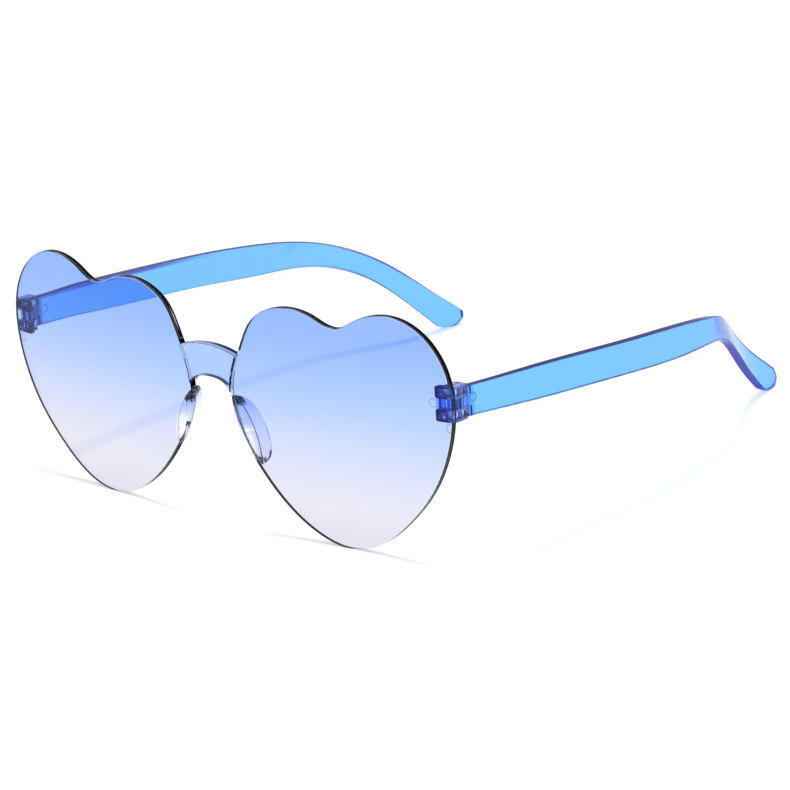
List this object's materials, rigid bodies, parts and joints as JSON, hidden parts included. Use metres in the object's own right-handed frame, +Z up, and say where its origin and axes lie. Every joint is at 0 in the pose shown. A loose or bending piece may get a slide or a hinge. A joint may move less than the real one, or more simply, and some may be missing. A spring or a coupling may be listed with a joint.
{
  "type": "heart shaped sunglasses",
  "caption": "Clear blue rimless sunglasses with heart shaped tinted lenses, an arched bridge, nose pads and temple arms that fold on screw hinges.",
  "frame": {"origin": "middle of the footprint, on the floor that the lens tips and the ear tips stand on", "axes": "+X to the right as seen from the front, +Y from the lenses to the ear tips, +Z up"},
  "size_m": [0.1494, 0.1532, 0.0599],
  "materials": {
    "lens": "clear gloss, blue at the top fading to a pale pinkish white",
    "bridge": "clear gloss, pale lilac blue",
    "pad": "clear gloss, nearly colourless",
    "hinge": "clear gloss, deep blue",
    "temple": "clear gloss, sky blue",
    "screw": "turned steel"
  },
  "bodies": {
    "front": {"bridge": "bridge", "lens_left": "lens", "lens_right": "lens", "nose_pad_left": "pad", "nose_pad_right": "pad", "hinge_block_left": "hinge", "hinge_block_right": "hinge", "hinge_screw_left": "screw", "hinge_screw_right": "screw"},
    "temple_left": {"temple_left": "temple"},
    "temple_right": {"temple_right": "temple"}
  },
  "joints": [
    {"name": "hinge_right", "type": "hinge", "parent": "front", "child": "temple_right", "pos_m": [0.071, -0.06699, 0.04027], "axis": [0, 0.0087, 1], "range_deg": [0, 82]},
    {"name": "hinge_left", "type": "hinge", "parent": "front", "child": "temple_left", "pos_m": [-0.071, -0.06699, 0.04027], "axis": [0, -0.0087, -1], "range_deg": [0, 74]}
  ]
}
